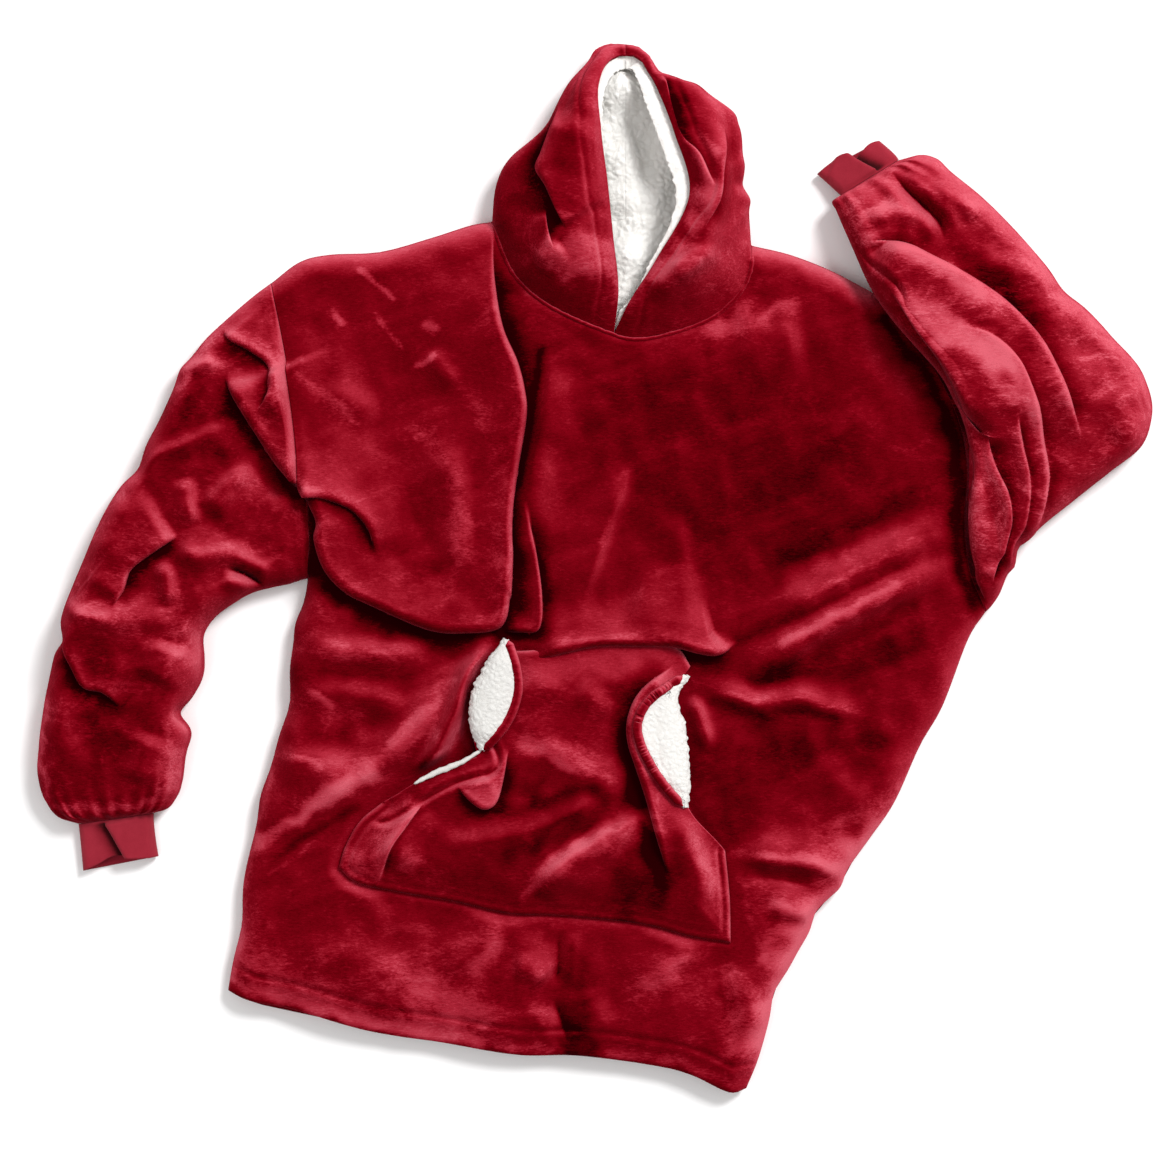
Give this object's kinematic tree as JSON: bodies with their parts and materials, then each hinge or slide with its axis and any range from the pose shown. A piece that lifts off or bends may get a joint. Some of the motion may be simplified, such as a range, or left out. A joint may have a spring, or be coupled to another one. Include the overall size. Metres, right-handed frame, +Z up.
{
  "type": "oversized blanket hoodie",
  "caption": "Oversized pullover blanket hoodie in plush with a sherpa-lined hood, a kangaroo pocket and jersey cuffs, laid flat with its front up and one sleeve folded back.",
  "frame": {"origin": "centre of the footprint, on the surface that the garment lies on", "axes": "+X towards the wearer's left sleeve, +Y from the hem to the hood, +Z up out of the front"},
  "size_m": [1.225, 1.1554, 0.0868],
  "materials": {
    "plush": "deep crimson plush pile",
    "sherpa": "off-white curly sherpa pile",
    "cuff_jersey": "matt crimson knitted jersey"
  },
  "bodies": {
    "root": {"front_panel": "plush", "back_panel": "plush", "sleeve_right": "plush", "sleeve_left": "plush", "cuff_right": "cuff_jersey", "cuff_left": "cuff_jersey", "hood_right": "plush", "hood_left": "plush", "hood_lining_right": "sherpa", "hood_lining_left": "sherpa", "pocket": "plush", "pocket_lining_right": "sherpa", "pocket_lining_left": "sherpa"}
  },
  "joints": []
}
